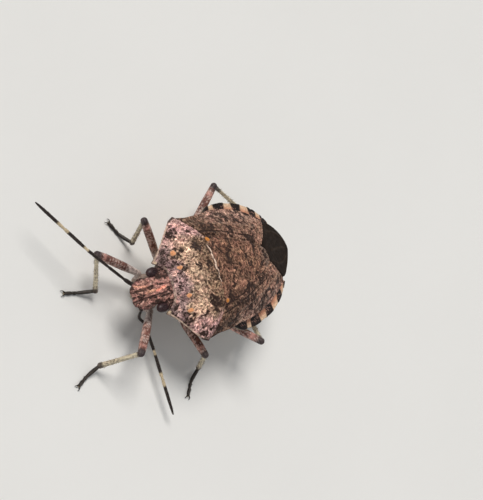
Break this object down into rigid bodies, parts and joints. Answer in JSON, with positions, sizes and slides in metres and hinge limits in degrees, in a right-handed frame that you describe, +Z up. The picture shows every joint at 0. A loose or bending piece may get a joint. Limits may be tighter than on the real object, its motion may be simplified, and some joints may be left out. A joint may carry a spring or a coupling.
{
  "type": "shield bug",
  "caption": "Life-size model of a mottled brown shield bug standing on its feet, feelers spread, as in a cabinet of insects",
  "frame": {"origin": "on the floor under the middle of the bounding box", "axes": "+Z up, the head faces -Y, the bug's own left is +X"},
  "size_m": [0.015, 0.0208, 0.0059],
  "materials": {
    "antenna": "satin",
    "eye": "glossy",
    "wing_leather": "satin",
    "wing_membrane": "satin",
    "head": "satin",
    "pronotum": "satin",
    "scutellum": "satin",
    "abdomen": "satin",
    "thorax": "satin",
    "tarsus": "satin",
    "tibia": "satin",
    "femur": "satin"
  },
  "bodies": {
    "root": {"abdomen": "abdomen", "antenna_left_1": "antenna", "antenna_left_2": "antenna", "antenna_left_3": "antenna", "antenna_left_4": "antenna", "antenna_left_5": "antenna", "antenna_right_1": "antenna", "antenna_right_2": "antenna", "antenna_right_3": "antenna", "antenna_right_4": "antenna", "antenna_right_5": "antenna", "corium_left": "wing_leather", "corium_right": "wing_leather", "eye_left": "eye", "eye_right": "eye", "fore_left_coxa": "femur", "fore_left_femur": "femur", "fore_left_tarsus": "tarsus", "fore_left_tibia": "tibia", "fore_right_coxa": "femur", "fore_right_femur": "femur", "fore_right_tarsus": "tarsus", "fore_right_tibia": "tibia", "head": "head", "hind_left_coxa": "femur", "hind_left_femur": "femur", "hind_left_tarsus": "tarsus", "hind_left_tibia": "tibia", "hind_right_coxa": "femur", "hind_right_femur": "femur", "hind_right_tarsus": "tarsus", "hind_right_tibia": "tibia", "membrane": "wing_membrane", "mid_left_coxa": "femur", "mid_left_femur": "femur", "mid_left_tarsus": "tarsus", "mid_left_tibia": "tibia", "mid_right_coxa": "femur", "mid_right_femur": "femur", "mid_right_tarsus": "tarsus", "mid_right_tibia": "tibia", "pronotum": "pronotum", "rostrum": "head", "scutellum": "scutellum", "thorax": "thorax"}
  },
  "joints": []
}
